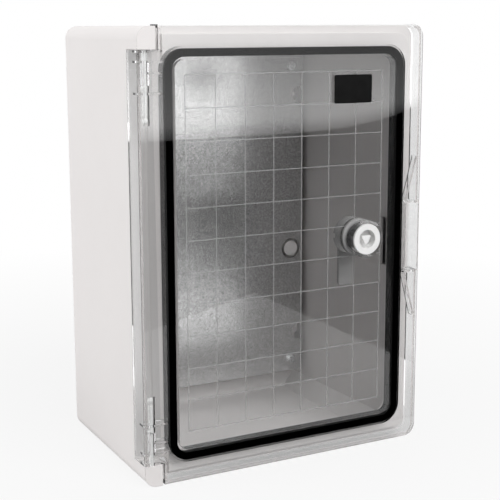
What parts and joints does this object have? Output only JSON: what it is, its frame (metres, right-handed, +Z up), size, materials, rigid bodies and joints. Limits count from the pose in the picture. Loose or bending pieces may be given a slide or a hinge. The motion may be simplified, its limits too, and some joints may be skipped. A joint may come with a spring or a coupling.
{
  "type": "wall-mounted electrical cabinet",
  "caption": "Upright plastic electrical cabinet with a clear hinged door, rubber seal, quarter-turn key lock and a galvanised steel mounting plate inside.",
  "frame": {"origin": "centre of the four wall fixings, on the plane of the wall", "axes": "+X to the right seen from the front, -Y out of the door's face, +Z up"},
  "size_m": [0.251, 0.18, 0.351],
  "materials": {
    "abs_shell": "light grey-white moulded plastic, satin",
    "clear_pc": "clear moulded polycarbonate, glossy",
    "black_rubber": "foamed rubber, matte",
    "white_plastic": "white moulded plastic",
    "dark_plastic": "dark grey glass-filled plastic, satin",
    "grey_plastic": "natural grey moulded plastic, satin",
    "galvanised_sheet": "galvanised, faint spangle",
    "zinc_steel": "bright zinc plating",
    "black_film": "black film, bare"
  },
  "bodies": {
    "cabinet": {"body": "abs_shell", "mounting_plate": "galvanised_sheet", "plate_screw_1": "zinc_steel", "plate_screw_2": "zinc_steel", "plate_screw_3": "zinc_steel", "plate_screw_4": "zinc_steel"},
    "door_leaf": {"door": "clear_pc", "door_seal": "black_rubber", "hinge_pin_upper": "white_plastic", "hinge_pin_lower": "white_plastic", "lock_housing": "white_plastic", "lock_sleeve": "dark_plastic", "lock_seal": "black_rubber", "lock_guard": "clear_pc", "lock_nut": "grey_plastic", "name_plate": "black_film"},
    "lock_turn": {"lock_core": "white_plastic", "lock_latch": "grey_plastic", "latch_washer": "zinc_steel", "latch_screw": "zinc_steel"}
  },
  "joints": [
    {"name": "door_hinge", "type": "hinge", "parent": "cabinet", "child": "door_leaf", "pos_m": [-0.118, -0.162, 0], "axis": [0, 0, -1], "range_deg": [0, 180]},
    {"name": "lock_turn", "type": "hinge", "parent": "door_leaf", "child": "lock_turn", "pos_m": [0.066, -0.167, 0.005], "axis": [0, -1, 0], "range_deg": [0, 90]}
  ]
}
